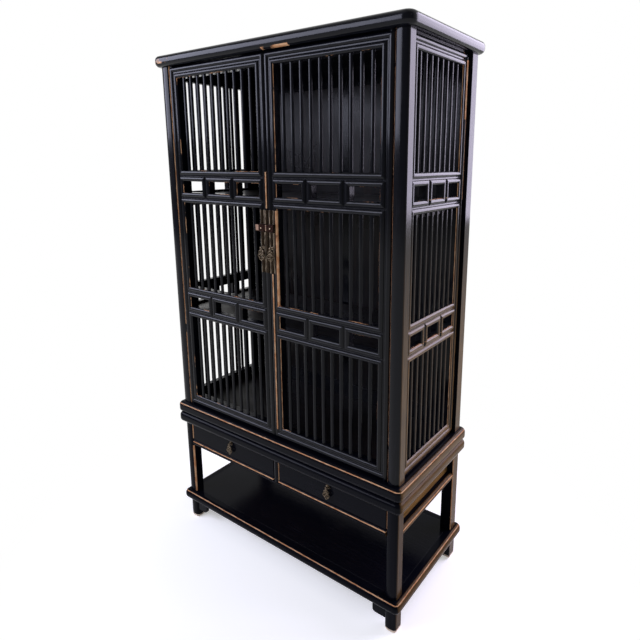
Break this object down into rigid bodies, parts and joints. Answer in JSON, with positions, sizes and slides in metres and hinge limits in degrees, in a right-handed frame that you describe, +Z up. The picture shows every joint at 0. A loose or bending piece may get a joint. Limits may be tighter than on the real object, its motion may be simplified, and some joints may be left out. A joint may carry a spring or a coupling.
{
  "type": "chinese book cabinet",
  "caption": "Tall lattice-doored book cabinet on an open stand with drawers and a low shelf, black lacquer with worn edges and bronze pulls.",
  "frame": {"origin": "on the floor, under the middle of the cabinet", "axes": "+X to the right along the front as the user faces it, +Y to the back, +Z up; the doors face -Y"},
  "size_m": [1.04, 0.49, 1.835],
  "materials": {
    "lacquer": "black lacquer, semi-gloss, edges worn to the wood",
    "inner_lacquer": "dark lacquer, satin",
    "drawer_wood": "bare wood, matt",
    "bronze": "aged bronze, dull",
    "pale_bronze": "rubbed bronze, satin",
    "dark_bronze": "blackened bronze"
  },
  "bodies": {
    "carcass": {"top_frame": "lacquer", "top_panel": "lacquer", "front_posts": "lacquer", "rear_posts": "lacquer", "cabinet_floor_frame": "lacquer", "cabinet_floor_panel": "lacquer", "left_side_frame": "lacquer", "left_side_bands": "lacquer", "left_side_slats": "lacquer", "right_side_frame": "lacquer", "right_side_bands": "lacquer", "right_side_slats": "lacquer", "back_frame": "inner_lacquer", "back_panels": "inner_lacquer", "upper_shelf": "inner_lacquer", "lower_shelf": "inner_lacquer", "shelf_bearers": "inner_lacquer", "stand_top_frame": "lacquer", "front_legs": "lacquer", "rear_legs": "lacquer", "drawer_rail": "lacquer", "drawer_divider": "lacquer", "stand_rails": "lacquer", "stand_aprons": "lacquer", "drawer_runners": "inner_lacquer", "base_shelf_frame": "lacquer", "base_shelf_panel": "lacquer", "bracket_spandrels": "lacquer"},
    "left_door": {"left_door_hinge_stile": "lacquer", "left_door_meeting_stile": "lacquer", "left_door_end_rails": "lacquer", "left_door_band_rails": "lacquer", "left_door_band_uprights": "lacquer", "left_door_slats": "lacquer", "left_door_face_plate": "bronze", "left_door_staple": "dark_bronze", "left_door_pull_post": "bronze"},
    "left_door_drop": {"left_door_drop_pull": "bronze"},
    "left_drawer": {"left_drawer_front": "lacquer", "left_drawer_box": "drawer_wood", "left_drawer_bottom": "drawer_wood", "left_drawer_pull_mount": "bronze"},
    "left_drawer_drop": {"left_drawer_drop": "bronze"},
    "right_door": {"right_door_hinge_stile": "lacquer", "right_door_meeting_stile": "lacquer", "right_door_end_rails": "lacquer", "right_door_band_rails": "lacquer", "right_door_band_uprights": "lacquer", "right_door_slats": "lacquer", "right_door_face_plate": "bronze", "right_door_staple": "dark_bronze", "right_door_pull_post": "bronze"},
    "right_door_drop": {"right_door_drop_pull": "bronze"},
    "right_drawer": {"right_drawer_front": "lacquer", "right_drawer_box": "drawer_wood", "right_drawer_bottom": "drawer_wood", "right_drawer_pull_mount": "bronze"},
    "right_drawer_drop": {"right_drawer_drop": "bronze"},
    "lock_bar": {"lock_bar": "pale_bronze"}
  },
  "joints": [
    {"name": "left_door_hinge", "type": "hinge", "parent": "carcass", "child": "left_door", "pos_m": [-0.4475, -0.2145, 1.16], "axis": [0, 0, -1], "range_deg": [0, 110]},
    {"name": "left_door_drop_hinge", "type": "hinge", "parent": "left_door", "child": "left_door_drop", "pos_m": [-0.01975, -0.23705, 1.199], "axis": [-1, 0, 0], "range_deg": [0, 80]},
    {"name": "left_drawer_slide", "type": "slide", "parent": "carcass", "child": "left_drawer", "axis": [0, -1, 0], "range_m": [0, 0.28]},
    {"name": "left_drawer_drop_hinge", "type": "hinge", "parent": "left_drawer", "child": "left_drawer_drop", "pos_m": [-0.233, -0.2305, 0.421], "axis": [-1, 0, 0], "range_deg": [0, 80]},
    {"name": "right_door_hinge", "type": "hinge", "parent": "carcass", "child": "right_door", "pos_m": [0.4475, -0.2145, 1.16], "axis": [0, 0, 1], "range_deg": [0, 110]},
    {"name": "right_door_drop_hinge", "type": "hinge", "parent": "right_door", "child": "right_door_drop", "pos_m": [0.01975, -0.23705, 1.199], "axis": [-1, 0, 0], "range_deg": [0, 80]},
    {"name": "right_drawer_slide", "type": "slide", "parent": "carcass", "child": "right_drawer", "axis": [0, -1, 0], "range_m": [0, 0.28]},
    {"name": "right_drawer_drop_hinge", "type": "hinge", "parent": "right_drawer", "child": "right_drawer_drop", "pos_m": [0.233, -0.2305, 0.421], "axis": [-1, 0, 0], "range_deg": [0, 80]},
    {"name": "lock_bar_slide", "type": "slide", "parent": "left_door", "child": "lock_bar", "axis": [1, 0, 0], "range_m": [0, 0.029]}
  ]
}
